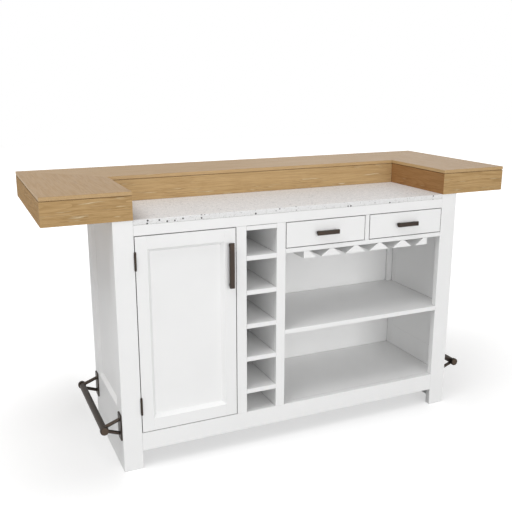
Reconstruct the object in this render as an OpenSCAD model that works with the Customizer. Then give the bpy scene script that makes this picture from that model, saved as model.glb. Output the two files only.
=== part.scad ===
// Home bar unit. A painted cabinet holds a cupboard, a bottle rack, two drawers, glass rails
// and open shelves. A stone worktop lies between its stiles, and a boxed oak bar top stands
// on it along the back and both ends. Foot rails run along the ends and the back.
// Millimetres. The origin is on the floor under the middle of the whole unit.
// +X is right as the server sees it, +Y is towards the guests, +Z is up.

/* [Cabinet] */
// Width of the cabinet
cab_w = 1476; // [1300:1:1700]
// Depth of the cabinet
cab_d = 470; // [430:1:540]
// Height of the stone worktop
bench_h = 965; // [930:1:1000]
// Thickness of the face frame
frame_t = 25; // [20:1:30]
// Width of the two outer stiles of the face frame
stile_w = 73.5; // [60:0.5:90]
// Height of the base rail's lower edge over the floor
foot_h = 73; // [50:1:100]
// Height of the base rail
base_rail_h = 72.5; // [50:0.5:90]
// Height of the rail under the stone
top_rail_h = 38.5; // [30:0.5:50]
// Thickness of the shelves, partitions and carcass boards
board_t = 18; // [15:1:20]
// Softened edge on the boards
arris = 0.8; // [0.4:0.1:1.5]

/* [Sides and back] */
// Thickness of the framed sides
side_t = 20; // [18:1:24]
// Width of the side stiles, as seen from the side
side_stile_w = 75; // [60:1:90]
// Height of the bottom rail of the sides and back
side_base_h = 238; // [200:1:280]
// Height of the top rail of the sides and back
side_top_h = 75; // [60:1:90]
// Thickness of the framed back
back_frame_t = 22; // [20:1:26]
// Width of the mullions in the framed back
back_mullion_w = 75; // [50:1:100]
// Number of panels in the back
back_panel_n = 3; // [2:1:4]
// Width of the sloped moulding round a panel
bevel_w = 13; // [8:1:16]
// Thickness of a side or back panel
panel_t = 7; // [5:1:8]
// How far a panel's edge lies in its rebate
rebate = 6; // [4:1:8]

/* [Bays] */
// Clear width of the cupboard opening
cupboard_w = 389; // [340:1:420]
// Width of the mullion between the cupboard and the bottle rack
door_mullion_w = 41; // [36:1:50]
// Clear width of the bottle rack
rack_w = 126.5; // [110:0.5:140]
// Width of the mullion between the bottle rack and the drawers
rack_mullion_w = 38; // [36:1:50]
// Number of shelves in the bottle rack, under its top board
rack_shelf_n = 5; // [3:1:6]
// Clear height of the lowest space in the bottle rack
rack_low_h = 79.5; // [76:0.5:110]
// Clear height of the highest space in the bottle rack
rack_high_h = 99.5; // [76:0.5:110]
// How far the bottle shelves are let into the partitions
dado = 6; // [3:1:7]
// Clear height of the drawer openings
drawer_h = 105; // [95:1:115]
// Height of the rail under the drawers
drawer_rail_h = 18; // [15:1:22]
// Width of the divider between the drawers
divider_w = 19; // [16:1:24]
// Height of the middle shelf's top over the floor of the open bay
middle_shelf_up = 324; // [260:1:380]
// Height of the cupboard shelf's underside over the cupboard floor
cupboard_shelf_up = 370; // [250:1:450]
// Width of the corner battens in the open bay
batten_w = 26; // [18:1:32]
// Depth of the corner battens
batten_d = 15; // [10:1:18]

/* [Worktop and bar top] */
// Thickness of the stone
stone_t = 19; // [15:1:25]
// Height of the boxed bar top
bar_h = 102; // [80:1:120]
// How far the bar top stands out over each end
overhang_side = 239; // [180:1:260]
// How far the bar top stands out at the back
overhang_back = 220; // [180:1:240]
// Depth of the bar top along the back
bar_back_d = 311; // [280:1:320]
// How far the bar top stands out over the face frame
bar_lip = 3; // [0:1:6]
// Thickness of the bar's top boards
bar_board_t = 13.5; // [12:0.5:20]
// Thickness of the bar's apron boards
apron_t = 25; // [18:1:28]
// Height of the shadow line under the top boards
shadow_h = 2.5; // [1.5:0.5:4]
// Depth of the shadow line
shadow_d = 2.5; // [1.5:0.5:4]
// Thickness of the boards that close the bar top underneath
soffit_t = 12; // [9:1:16]

/* [Door] */
// Gap round the door and the drawer fronts
front_gap = 3; // [2.4:0.1:3.5]
// Width of the door's stiles and rails, without the moulding
door_stile_w = 44; // [38:1:60]
// Height of the door's top and bottom rails, without the moulding
door_rail_h = 48; // [40:1:60]
// Thickness of the door's panel
door_panel_t = 9; // [6:1:10]
// Length of a hinge
hinge_len = 65; // [50:1:80]
// Height of the lower hinge's middle over the cupboard floor
hinge_low_up = 110.5; // [90:0.5:150]
// Distance of the upper hinge's middle from the cupboard's top
hinge_high_down = 91.5; // [80:0.5:150]
// Radius of a hinge knuckle
knuckle_r = 4; // [3.5:0.1:4.5]
// Radius of a hinge pin
pin_r = 2; // [1.6:0.1:2.2]
// Thickness of a hinge leaf
leaf_t = 1.1; // [0.8:0.1:1.1]
// Width of a hinge leaf
leaf_w = 18; // [14:1:19]

/* [Pulls] */
// Length of the door pull
door_pull_len = 174; // [120:1:220]
// Width of the door pull
door_pull_w = 18.5; // [12:0.5:20]
// Length of a drawer pull
drawer_pull_len = 96; // [70:1:140]
// Height of a drawer pull
drawer_pull_w = 17; // [12:1:20]
// Thickness of the pull bars
pull_bar_t = 10; // [7:1:12]
// How far the pulls stand out
pull_out = 22; // [18:1:30]
// Distance of the door pull's middle from the door's free edge
door_pull_in = 22; // [16:0.5:26]
// Distance of the door pull's top from the door's top
door_pull_down = 54; // [40:1:120]

/* [Drawers] */
// Thickness of the drawer fronts
drawer_front_t = 20; // [16:1:22]
// Space behind the drawer boxes
drawer_back_gap = 30; // [10:1:60]
// Height of the drawer boxes
drawer_box_h = 76; // [60:1:80]
// Thickness of the drawer box walls
drawer_wall_t = 12; // [10:1:15]
// Thickness of the drawer bottoms
drawer_floor_t = 5; // [4:1:6]
// Space for a slide at each side of a drawer box
slide_w = 13; // [12:0.5:15]
// Length of the slides
slide_len = 350; // [250:1:350]
// Height of the fixed slide channel
slide_h = 42; // [36:1:45]
// Sheet thickness of the slides
slide_t = 1.5; // [1:0.1:2]

/* [Glass rails] */
// Width of a glass rail's neck
rail_neck_w = 16; // [14:1:24]
// Width of an end rail's neck
end_neck_w = 19; // [14:1:24]
// Width of each sloped flank of a glass rail
rail_flank_w = 36.5; // [28:0.5:38]
// Clear gap for a stem between two rails
stem_gap = 24; // [18:1:26]
// Height of the glass rails
glass_rail_h = 28.5; // [24:0.5:36]
// Space between the glass rails and the back board
glass_rail_back_gap = 25; // [10:1:60]
// Distance of the first glass rail from the bottle rack's mullion
glass_rail_in = 80; // [30:1:90]
// Least distance of the last glass rail from the right stile
glass_rail_clear = 40; // [30:1:60]

/* [Foot rails] */
// Height of the foot rails' middle
rail_z = 178; // [150:1:200]
// Distance of the foot rails' middle from the cabinet
rail_out = 64.5; // [50:0.5:90]
// Radius of the foot rail tube
rail_r = 12.7; // [10:0.1:15]
// Wall of the foot rail tube
rail_wall = 1.5; // [1:0.1:2.5]
// Radius of the foot rail's end caps
cap_r = 16.2; // [14:0.1:18]
// Length of the end caps
cap_len = 15; // [10:1:18]
// Distance of an end rail's ends from the cabinet's front and back
rail_end_in = 7; // [0:1:15]
// Distance of the back rail's ends from the cabinet's ends
back_rail_end_in = 30; // [10:1:60]
// Distance of an end bracket's middle from the end cap
bracket_in = 8; // [7:1:40]
// Distance of the back rail's outer brackets from its end caps
back_bracket_in = 26; // [10:1:60]
// Number of brackets on the back rail
back_bracket_n = 3; // [2:1:5]
// Width of a bracket's wall plate
plate_w = 44; // [36:1:50]
// Height of a bracket's wall plate
plate_h = 104; // [80:1:110]
// Thickness of a bracket's wall plate
plate_t = 5; // [4:0.5:6]
// Radius of a bracket's arms
arm_r = 6.75; // [4:0.25:8]
// Height of an arm's foot over or under the middle of the plate
arm_spread = 29; // [20:1:34]

/* [Hidden] */
$fn = 48;

paint = [0.93, 0.93, 0.92];
oak = [0.71, 0.56, 0.36];
ply = [0.86, 0.77, 0.62];
stone = [0.86, 0.84, 0.81];
bronze = [0.27, 0.24, 0.21];
steel = [0.72, 0.73, 0.75];
dark_plastic = [0.16, 0.16, 0.17];

fit = 0.2;            // clearance round a panel or a slab that lies in a recess
glue_line = 0.1;      // clearance between the members of a frame or a drawer box
running = 0.05;       // clearance between a hinge pin and its knuckles
slide_play = 0.4;     // clearance between the two channels of a slide
eps = 0.01;           // overshoot of a cut

// heights
floor_z = foot_h + base_rail_h;
stone_z = bench_h - stone_t;
opening_top = stone_z - top_rail_h;
drawer_z = opening_top - drawer_h;
deck_z = drawer_z - drawer_rail_h;
sub_top_z = stone_z - board_t;
bar_z = bench_h + bar_h;
bar_board_z = bar_z - bar_board_t;

// places across the face frame
cupboard_x = stile_w;
door_mullion_x = cupboard_x + cupboard_w;
rack_x = door_mullion_x + door_mullion_w;
rack_mullion_x = rack_x + rack_w;
bay_x = rack_mullion_x + rack_mullion_w;
bay_end = cab_w - stile_w;
drawer_w = (bay_end - bay_x - divider_w) / 2;
function drawer_x(i) = bay_x + i * (drawer_w + divider_w);

// the inside of the carcass
inner_x = side_t;
inner_end = cab_w - side_t;
back_board_y = cab_d - back_frame_t - board_t;
bay_wall_x = rack_x + rack_w + board_t;

// the bar top's outline, drawn inwards by d: an edge of it runs from point i to point i + 1
bar_x0 = -overhang_side;
bar_x1 = cab_w + overhang_side;
bar_y0 = -bar_lip;
bar_y1 = cab_d + overhang_back;
well_y = bar_y1 - bar_back_d;
function bar_outline(d) = [
  [bar_x0 + d, bar_y0 + d], [stile_w - d, bar_y0 + d], [stile_w - d, well_y + d],
  [bay_end + d, well_y + d], [bay_end + d, bar_y0 + d], [bar_x1 - d, bar_y0 + d],
  [bar_x1 - d, bar_y1 - d], [bar_x0 + d, bar_y1 - d]];

// the middle of the whole unit, from the pulls in front to the bar top behind
mid_x = cab_w / 2;
mid_y = (bar_y1 - pull_out) / 2;

// Everything is drawn from the cabinet's front left corner on the floor, then moved here.
module place() translate([-mid_x, -mid_y, 0]) children();

// ---- plain boards ----

// Cross section of a board with its four edges softened
module eased(w, h, c = arris)
  polygon([[c, 0], [w - c, 0], [w, c], [w, h - c], [w - c, h], [c, h], [0, h - c], [0, c]]);

// Sharp box between pairs of coordinates
module span(x, y, z)
  translate([x[0], y[0], z[0]]) cube([x[1] - x[0], y[1] - y[0], z[1] - z[0]]);

// Boards whose length runs up, across or from front to back
module board_up(x, y, z, c = arris)
  translate([x[0], y[0], z[0]]) linear_extrude(z[1] - z[0]) eased(x[1] - x[0], y[1] - y[0], c);
module board_across(x, y, z, c = arris)
  translate([x[0], y[0], z[0]]) rotate([90, 0, 90])
    linear_extrude(x[1] - x[0]) eased(y[1] - y[0], z[1] - z[0], c);
module board_deep(x, y, z, c = arris)
  translate([x[0], y[1], z[0]]) rotate([90, 0, 0])
    linear_extrude(y[1] - y[0]) eased(x[1] - x[0], z[1] - z[0], c);

// ---- face frame ----

module left_stile() color(paint) place()
  board_up([0, stile_w], [0, frame_t], [0, bench_h]);

module right_stile() color(paint) place()
  board_up([bay_end, cab_w], [0, frame_t], [0, bench_h]);

module top_rail() color(paint) place()
  board_across([stile_w, bay_end], [0, frame_t], [opening_top, stone_z]);

module base_rail() color(paint) place()
  board_across([stile_w, bay_end], [0, frame_t], [foot_h, floor_z]);

module door_mullion() color(paint) place()
  board_up([door_mullion_x, rack_x], [0, frame_t], [floor_z, opening_top]);

module rack_mullion() color(paint) place()
  board_up([rack_mullion_x, bay_x], [0, frame_t], [floor_z, opening_top]);

module drawer_rail() color(paint) place()
  board_across([bay_x, bay_end], [0, frame_t], [deck_z, drawer_z]);

module drawer_divider() color(paint) place()
  board_up([drawer_x(0) + drawer_w, drawer_x(1)], [0, frame_t], [drawer_z, opening_top]);

// ---- frame and panel work ----

// Sloped moulding round an opening: x and z are the opening at the face, and the cut narrows
// by bevel_w on every side down to the depth d. Two crossed prisms give it mitred corners.
module moulding_cut(x, z, d) {
  w = x[1] - x[0];
  h = z[1] - z[0];
  intersection() {
    translate([x[0], 0, z[0]]) linear_extrude(h) sloped(w, d);
    translate([x[0] + w, 0, z[0]]) rotate([0, -90, 0]) linear_extrude(w) sloped(h, d);
  }
}
module sloped(w, d)
  polygon([[0, -1], [w, -1], [w, 0], [w - bevel_w, d], [w - bevel_w, d + eps],
           [bevel_w, d + eps], [bevel_w, d], [0, 0]]);

// Cuts one panel opening through a frame of thickness t, with a rebate for a panel of
// thickness p from behind. The frame's face is at y = 0.
module panel_opening(x, z, t, p) {
  moulding_cut(x, z, t - p);
  span([x[0] + bevel_w - rebate, x[1] - bevel_w + rebate], [t - p, t + 1],
       [z[0] + bevel_w - rebate, z[1] - bevel_w + rebate]);
}

// Glue lines part a frame into its members. This one follows a corner of an opening at x, z:
// up the stile's edge away from the opening, and along the moulding's mitre into it. sx and sz
// point into the opening, and reach goes past the frame's end.
module corner_joint(x, z, sx, sz, reach, t) {
  g = glue_line / 2;
  m = bevel_w + 1;
  face_cut(t) polygon([for (p = [[-g, -reach], [g, -reach], [g, 0], [m + g, m], [m - g, m], [-g, 0]])
    [x + sx * p[0], z + sz * p[1]]]);
}
// The joint at the end of a mullion that lies between x[0] and x[1] and ends at z
module mullion_joint(x, z, sz, t) {
  g = glue_line / 2;
  m = bevel_w + 1;
  face_cut(t) polygon([for (p = [[x[0] - m, m - g], [x[0], -g], [x[1], -g], [x[1] + m, m - g],
                                 [x[1] + m, m + g], [x[1], g], [x[0], g], [x[0] - m, m + g]])
    [p[0], z + sz * p[1]]]);
}
module face_cut(t) translate([0, t + 1, 0]) rotate([90, 0, 0]) linear_extrude(t + 2) children();
module four_joints(x, z, reach, t)
  for (i = [0, 1], j = [0, 1]) corner_joint(x[i], z[j], 1 - 2 * i, 1 - 2 * j, reach, t);

// The panel that lies in that rebate
module panel(x, z, t, p)
  span([x[0] + bevel_w - rebate + fit, x[1] - bevel_w + rebate - fit], [t - p, t],
       [z[0] + bevel_w - rebate + fit, z[1] - bevel_w + rebate - fit]);

// Each side is seen from outside, with its left edge at the cabinet's back or front.
side_w = cab_d - frame_t;
side_z = [side_base_h, bench_h - side_top_h];
left_opening_x = [side_stile_w, cab_d - side_stile_w];
right_opening_x = [side_stile_w - frame_t, side_w - side_stile_w];

module left_side_place() translate([0, cab_d, 0]) rotate([0, 0, -90]) children();
module right_side_place() translate([cab_w, frame_t, 0]) rotate([0, 0, 90]) children();

// Holes for the pins that carry the cupboard shelf
pin_len = 20;
pin_in = 8;
shelf_pin_r = 2.5;
shelf_pin_y = [frame_t + 27, cab_d - 52];
shelf_pin_z = floor_z + cupboard_shelf_up - shelf_pin_r;
module pin_at(x, y, r) translate([x, y, shelf_pin_z]) rotate([0, 90, 0]) cylinder(h = pin_len, r = r);
module shelf_pin_row(r, left, right)
  for (y = shelf_pin_y) {
    if (left) pin_at(inner_x - pin_in, y, r);
    if (right) pin_at(rack_x - board_t + pin_in - pin_len, y, r);
  }

module left_side_frame() color(paint) place() difference() {
  left_side_place() difference() {
    board_up([0, side_w], [0, side_t], [0, bench_h]);
    panel_opening(left_opening_x, side_z, side_t, panel_t);
    four_joints(left_opening_x, side_z, side_base_h + 1, side_t);
  }
  shelf_pin_row(shelf_pin_r + running, true, false);
}

module right_side_frame() color(paint) place() right_side_place() difference() {
  board_up([0, side_w], [0, side_t], [0, bench_h]);
  panel_opening(right_opening_x, side_z, side_t, panel_t);
  four_joints(right_opening_x, side_z, side_base_h + 1, side_t);
}

module side_panels() color(paint) place() {
  left_side_place() panel(left_opening_x, side_z, side_t, panel_t);
  right_side_place() panel(right_opening_x, side_z, side_t, panel_t);
}

// The back lies between the sides. Its outer stiles look as wide as those of the sides.
back_w = cab_w - 2 * side_t;
back_edge_w = side_stile_w - side_t;
back_pitch = (back_w - 2 * back_edge_w + back_mullion_w) / back_panel_n;
function back_opening_x(i) =
  [back_edge_w + i * back_pitch, back_edge_w + (i + 1) * back_pitch - back_mullion_w];
module back_place() translate([inner_end, cab_d, 0]) rotate([0, 0, 180]) children();

module back_frame() color(paint) place() back_place() difference() {
  span([0, back_w], [0, back_frame_t], [0, bench_h]);
  for (i = [0 : back_panel_n - 1])
    panel_opening(back_opening_x(i), side_z, back_frame_t, panel_t);
  for (j = [0, 1]) {
    corner_joint(back_edge_w, side_z[j], 1, 1 - 2 * j, side_base_h + 1, back_frame_t);
    corner_joint(back_w - back_edge_w, side_z[j], -1, 1 - 2 * j, side_base_h + 1, back_frame_t);
    for (i = [0 : back_panel_n - 2])
      mullion_joint([back_opening_x(i)[1], back_opening_x(i + 1)[0]], side_z[j], 1 - 2 * j,
                    back_frame_t);
  }
}

module back_panels() color(paint) place() back_place()
  for (i = [0 : back_panel_n - 1]) panel(back_opening_x(i), side_z, back_frame_t, panel_t);

// ---- carcass ----

module back_board() color(paint) place()
  span([inner_x, inner_end], [back_board_y, back_board_y + board_t], [floor_z - board_t, stone_z]);

module bottom_board() color(paint) place()
  span([inner_x, inner_end], [frame_t, back_board_y], [floor_z - board_t, floor_z]);

module sub_top() color(paint) place()
  span([inner_x, inner_end], [frame_t, back_board_y], [sub_top_z, stone_z]);

// Heights of the undersides of the bottle shelves, from the lowest, and of the rack's top
rack_top_z = opening_top - board_t;
rack_low_z = floor_z + rack_low_h;
rack_pitch = (rack_top_z - rack_high_h - board_t - rack_low_z) / (rack_shelf_n - 1);
function bottle_shelf_z(i) = rack_low_z + i * rack_pitch;

// A bottle shelf's front edge fills the face frame, and its ends are let into the partitions.
module bottle_shelf(z) translate([0, 0, z]) linear_extrude(board_t) bottle_shelf_outline();
module bottle_shelf_outline()
  polygon([[rack_x, 0], [rack_x + rack_w, 0], [rack_x + rack_w, frame_t],
           [rack_x + rack_w + dado, frame_t], [rack_x + rack_w + dado, back_board_y],
           [rack_x - dado, back_board_y], [rack_x - dado, frame_t], [rack_x, frame_t]]);
module all_bottle_shelves() for (i = [0 : rack_shelf_n - 1]) bottle_shelf(bottle_shelf_z(i));

module cupboard_partition() color(paint) place() difference() {
  span([rack_x - board_t, rack_x], [frame_t, back_board_y], [floor_z, sub_top_z]);
  all_bottle_shelves();
  bottle_shelf(rack_top_z);
  shelf_pin_row(shelf_pin_r + running, false, true);
}

module rack_partition() color(paint) place() difference() {
  span([rack_x + rack_w, bay_wall_x], [frame_t, back_board_y], [floor_z, sub_top_z]);
  all_bottle_shelves();
  bottle_shelf(rack_top_z);
}

module bottle_shelves() color(paint) place() all_bottle_shelves();

module bottle_rack_top() color(paint) place() bottle_shelf(rack_top_z);

module drawer_partition() color(paint) place()
  span([drawer_x(0) + drawer_w, drawer_x(1)], [frame_t, back_board_y], [drawer_z, sub_top_z]);

module drawer_deck() color(paint) place()
  span([bay_wall_x, inner_end], [frame_t, back_board_y], [deck_z, drawer_z]);

module corner_battens() color(paint) place()
  for (x = [bay_wall_x, inner_end - batten_w])
    board_up([x, x + batten_w], [back_board_y - batten_d, back_board_y],
             [floor_z + middle_shelf_up, deck_z]);

// The middle shelf's front edge fills the face frame, and behind it the shelf is wider.
module middle_shelf() color(paint) place()
  translate([0, 0, floor_z + middle_shelf_up - board_t]) linear_extrude(board_t)
    polygon([[bay_x, 0], [bay_end, 0], [bay_end, frame_t], [inner_end, frame_t],
             [inner_end, back_board_y], [bay_wall_x, back_board_y], [bay_wall_x, frame_t],
             [bay_x, frame_t]]);

// The cupboard shelf lies loose on four pins, behind the closed door.
shelf_play = 1;
shelf_front_in = 15;
module cupboard_shelf() color(paint) place()
  board_across([inner_x + shelf_play, rack_x - board_t - shelf_play],
               [frame_t + shelf_front_in, back_board_y - shelf_play],
               [floor_z + cupboard_shelf_up, floor_z + cupboard_shelf_up + board_t]);

module shelf_pins() color(steel) place() shelf_pin_row(shelf_pin_r, true, true);

// ---- glass rails ----

// A rail is narrow at its neck and spreads to both sides, so that a glass's foot rides on two
// neighbours and its stem hangs in the gap. An end rail spreads to one side only.
rail_lip = 1.5;
full_rail_w = rail_neck_w + 2 * rail_flank_w;
end_rail_w = end_neck_w + rail_flank_w;
glass_rail_len = back_board_y - glass_rail_back_gap;
glass_x0 = bay_x + glass_rail_in;
glass_space = bay_end - glass_rail_clear - glass_x0 - 2 * end_rail_w - stem_gap;
glass_rail_n = floor(glass_space / (full_rail_w + stem_gap));
glass_x1 = glass_x0 + end_rail_w + glass_rail_n * (full_rail_w + stem_gap) + stem_gap;
function glass_rail_x(i) = glass_x0 + end_rail_w + stem_gap + i * (full_rail_w + stem_gap);
module rail_bar(x)
  translate([x, glass_rail_len, deck_z - glass_rail_h]) rotate([90, 0, 0])
    linear_extrude(glass_rail_len) children();
module full_rail_section()
  polygon([[0, 0], [full_rail_w, 0], [full_rail_w, rail_lip],
           [full_rail_w - rail_flank_w, glass_rail_h], [rail_flank_w, glass_rail_h],
           [0, rail_lip]]);
module end_rail_section()
  polygon([[0, 0], [end_rail_w, 0], [end_rail_w, rail_lip], [end_neck_w, glass_rail_h],
           [0, glass_rail_h]]);

module glass_rails() color(paint) place()
  for (i = [0 : glass_rail_n - 1]) rail_bar(glass_rail_x(i)) full_rail_section();

module glass_end_rails() color(paint) place() {
  rail_bar(glass_x0) end_rail_section();
  rail_bar(glass_x1 + end_rail_w) mirror([1, 0]) end_rail_section();
}

// ---- door ----

door_x = [cupboard_x + front_gap, door_mullion_x - front_gap];
door_z = [floor_z + front_gap, opening_top - front_gap];
door_opening_x = [door_x[0] + door_stile_w, door_x[1] - door_stile_w];
door_opening_z = [door_z[0] + door_rail_h, door_z[1] - door_rail_h];

module door_frame() color(paint) place() difference() {
  board_up(door_x, [0, frame_t], door_z);
  panel_opening(door_opening_x, door_opening_z, frame_t, door_panel_t);
  four_joints(door_opening_x, door_opening_z, door_rail_h + 1, frame_t);
}

module door_panel() color(paint) place()
  panel(door_opening_x, door_opening_z, frame_t, door_panel_t);

// A pull is a flat bar on two posts. It is drawn lying along X, in front of y = 0.
post_w = 11;
post_in = 5;
module pull_bar(len, w) {
  board_across([-len / 2, len / 2], [-pull_out, pull_bar_t - pull_out], [-w / 2, w / 2], 1);
  for (side = [-1, 1]) {
    x = side * (len / 2 - post_in - post_w / 2);
    span([x - post_w / 2, x + post_w / 2], [pull_bar_t - pull_out - eps, 0],
         [-post_w / 2, post_w / 2]);
  }
}

module door_pull() color(bronze) place()
  translate([door_x[1] - door_pull_in, 0, door_z[1] - door_pull_down - door_pull_len / 2])
    rotate([0, 90, 0]) pull_bar(door_pull_len, door_pull_w);

// Butt hinges: the pin's axis stands in front of the gap, and five knuckles take turns.
hinge_x = cupboard_x + front_gap / 2;
hinge_y = -knuckle_r - fit;
hinge_z = [floor_z + hinge_low_up, opening_top - hinge_high_down];
knuckle_n = 5;
knuckle_gap = 0.3;
knuckle_h = (hinge_len + knuckle_gap) / knuckle_n;
pin_head_h = 2;
pin_head_r = 3;
leaf_front = 0.3;
module hinge_leaf(x, first)
  for (z = hinge_z) translate([0, 0, z - hinge_len / 2]) difference() {
    union() {
      span([x, x + leaf_t], [leaf_front, leaf_w], [0, hinge_len]);
      for (k = [first : 2 : knuckle_n - 1]) translate([0, 0, k * knuckle_h]) {
        translate([hinge_x, hinge_y, 0]) cylinder(h = knuckle_h - knuckle_gap, r = knuckle_r);
        span([x, x + leaf_t], [hinge_y, leaf_front + eps], [0, knuckle_h - knuckle_gap]);
      }
    }
    translate([hinge_x, hinge_y, -1]) cylinder(h = hinge_len + 2, r = pin_r + running);
  }

module hinge_frame_leaves() color(bronze) place() hinge_leaf(cupboard_x, 0);

module hinge_door_leaves() color(bronze) place() hinge_leaf(door_x[0] - leaf_t, 1);

module hinge_pins() color(bronze) place()
  for (z = hinge_z) translate([hinge_x, hinge_y, z - hinge_len / 2]) {
    cylinder(h = hinge_len + fit, r = pin_r);
    for (end = [-pin_head_h - fit, hinge_len + fit])
      translate([0, 0, end]) cylinder(h = pin_head_h, r = pin_head_r);
    translate([0, 0, -fit]) cylinder(h = fit + eps, r = pin_r);
  }

// A magnetic catch hangs under the carcass top and meets a steel plate on the door's back.
catch_w = 42;
catch_d = 24;
catch_below = 12;
catch_gap = 0.3;
strike_t = 1.2;
catch_x = door_x[1] - door_stile_w - 4;
catch_y = frame_t + strike_t + catch_gap;
catch_z = door_z[1] - catch_below;
module door_catch() color(dark_plastic) place()
  board_up([catch_x - catch_w / 2, catch_x + catch_w / 2], [catch_y, catch_y + catch_d],
           [catch_z, sub_top_z], 1.5);

module catch_plate() color(steel) place()
  board_across([catch_x - catch_w / 2 + 3, catch_x + catch_w / 2 - 3],
               [frame_t, frame_t + strike_t], [catch_z - 2, door_z[1] - 1.5], 0.3);

// ---- drawers ----

box_z = (drawer_z + opening_top) / 2 - drawer_box_h / 2;
box_end = back_board_y - drawer_back_gap;
slide_z = (drawer_z + opening_top) / 2;
slide_y = frame_t + 2;
groove_up = 8;
groove_d = drawer_wall_t / 2;

module drawer_front(i)
  board_across([drawer_x(i) + front_gap, drawer_x(i) + drawer_w - front_gap],
               [0, drawer_front_t], [drawer_z + front_gap, opening_top - front_gap]);

// Four walls with a groove round the inside, and a thin bottom that lies in the groove
module drawer_box(i) {
  x = [drawer_x(i) + slide_w, drawer_x(i) + drawer_w - slide_w];
  y = [drawer_front_t, box_end];
  z = [box_z, box_z + drawer_box_h];
  g = drawer_wall_t - groove_d;
  end_x = [x[0] + drawer_wall_t + glue_line, x[1] - drawer_wall_t - glue_line];
  difference() {
    union() {
      board_deep([x[0], x[0] + drawer_wall_t], y, z);
      board_deep([x[1] - drawer_wall_t, x[1]], y, z);
      board_across(end_x, [y[0], y[0] + drawer_wall_t], z);
      board_across(end_x, [y[1] - drawer_wall_t, y[1]], z);
    }
    span([x[0] + g, x[1] - g], [y[0] + g, y[1] - g],
         [box_z + groove_up - running, box_z + groove_up + drawer_floor_t + running]);
  }
  span([x[0] + g + fit, x[1] - g - fit], [y[0] + g + fit, y[1] - g - fit],
       [box_z + groove_up, box_z + groove_up + drawer_floor_t]);
}

module drawer_pull(i)
  translate([drawer_x(i) + drawer_w / 2, 0, slide_z]) pull_bar(drawer_pull_len, drawer_pull_w);

// C section of a slide channel, open towards +X
module channel(depth, h)
  difference() {
    span([0, depth], [0, slide_len], [-h / 2, h / 2]);
    span([slide_t, depth + 1], [-1, slide_len + 1], [slide_t - h / 2, h / 2 - slide_t]);
  }
moving_h = slide_h - 2 * slide_t - 2 * slide_play;
fixed_channel_d = slide_w - slide_t - slide_play;
moving_channel_d = slide_w - slide_t - 2 * slide_play;

// Puts a left hand slide, and its mirror image, at the two sides of drawer i
module at_slides(i) {
  translate([drawer_x(i), slide_y, slide_z]) children();
  translate([drawer_x(i) + drawer_w, slide_y, slide_z]) mirror([1, 0, 0]) children();
}
module drawer_slides(i) at_slides(i)
  translate([slide_w, 0, 0]) mirror([1, 0, 0]) channel(moving_channel_d, moving_h);

module cabinet_slides() color(steel) place()
  for (i = [0, 1]) at_slides(i) channel(fixed_channel_d, slide_h);

// Packing that brings the outer slides level with the face frame's openings
module slide_packers() color(ply) place()
  for (x = [[bay_wall_x, bay_x], [bay_end, inner_end]])
    board_deep(x, [slide_y, slide_y + slide_len], [slide_z - slide_h / 2 - 2, slide_z + slide_h / 2 + 2]);

module left_drawer_front() color(paint) place() drawer_front(0);
module right_drawer_front() color(paint) place() drawer_front(1);
module left_drawer_box() color(ply) place() drawer_box(0);
module right_drawer_box() color(ply) place() drawer_box(1);
module left_drawer_pull() color(bronze) place() drawer_pull(0);
module right_drawer_pull() color(bronze) place() drawer_pull(1);
module left_drawer_slides() color(steel) place() drawer_slides(0);
module right_drawer_slides() color(steel) place() drawer_slides(1);

// ---- stone worktop ----

// The slab's tongue lies between the stiles, and behind them it fills the carcass.
stone_y1 = back_board_y + board_t;
module stone_top() color(stone) place() intersection() {
  translate([0, 0, stone_z]) linear_extrude(stone_t)
    polygon([[stile_w + fit, 0], [bay_end - fit, 0], [bay_end - fit, frame_t + fit],
             [inner_end - fit, frame_t + fit], [inner_end - fit, stone_y1 - fit],
             [inner_x + fit, stone_y1 - fit], [inner_x + fit, frame_t + fit],
             [stile_w + fit, frame_t + fit]]);
  board_across([0, cab_w], [0, cab_d], [stone_z, bench_h], 1.5);
}

// ---- boxed bar top ----

// One of the mitred top boards, over the outline's points a, b, c and d
module bar_board(a, b, c, d) {
  o = bar_outline(0);
  translate([0, 0, bar_board_z]) linear_extrude(bar_board_t) polygon([o[a], o[b], o[c], o[d]]);
}

module bar_top_left() color(oak) place() intersection() {
  bar_board(0, 1, 2, 7);
  board_deep([bar_x0, stile_w], [bar_y0, bar_y1], [bar_board_z, bar_z]);
  board_across([bar_x0, stile_w], [bar_y0, bar_y1 + 1], [bar_board_z, bar_z]);
}

module bar_top_right() color(oak) place() intersection() {
  bar_board(3, 4, 5, 6);
  board_deep([bay_end, bar_x1], [bar_y0, bar_y1], [bar_board_z, bar_z]);
  board_across([bay_end, bar_x1], [bar_y0, bar_y1 + 1], [bar_board_z, bar_z]);
}

module bar_top_back() color(oak) place() intersection() {
  bar_board(7, 2, 3, 6);
  board_across([bar_x0, bar_x1], [well_y, bar_y1], [bar_board_z, bar_z]);
}

// Apron i stands under the outline's edge from point i to the next. Its ends are mitred, and
// its top edge is set back, which leaves a shadow line under the top board.
module apron(i) {
  outer = bar_outline(0);
  back = bar_outline(shadow_d);
  inner = bar_outline(apron_t);
  j = (i + 1) % len(outer);
  translate([0, 0, bench_h]) linear_extrude(bar_board_z - shadow_h - bench_h)
    polygon([outer[i], outer[j], inner[j], inner[i]]);
  translate([0, 0, bar_board_z - shadow_h - eps]) linear_extrude(shadow_h + eps)
    polygon([back[i], back[j], inner[j], inner[i]]);
}

module bar_end_aprons() color(oak) place() { apron(0); apron(4); }
module bar_inner_aprons() color(oak) place() { apron(1); apron(3); }
module bar_well_apron() color(oak) place() apron(2);
module bar_outer_aprons() color(oak) place() { apron(5); apron(7); }
module bar_back_apron() color(oak) place() apron(6);

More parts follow.
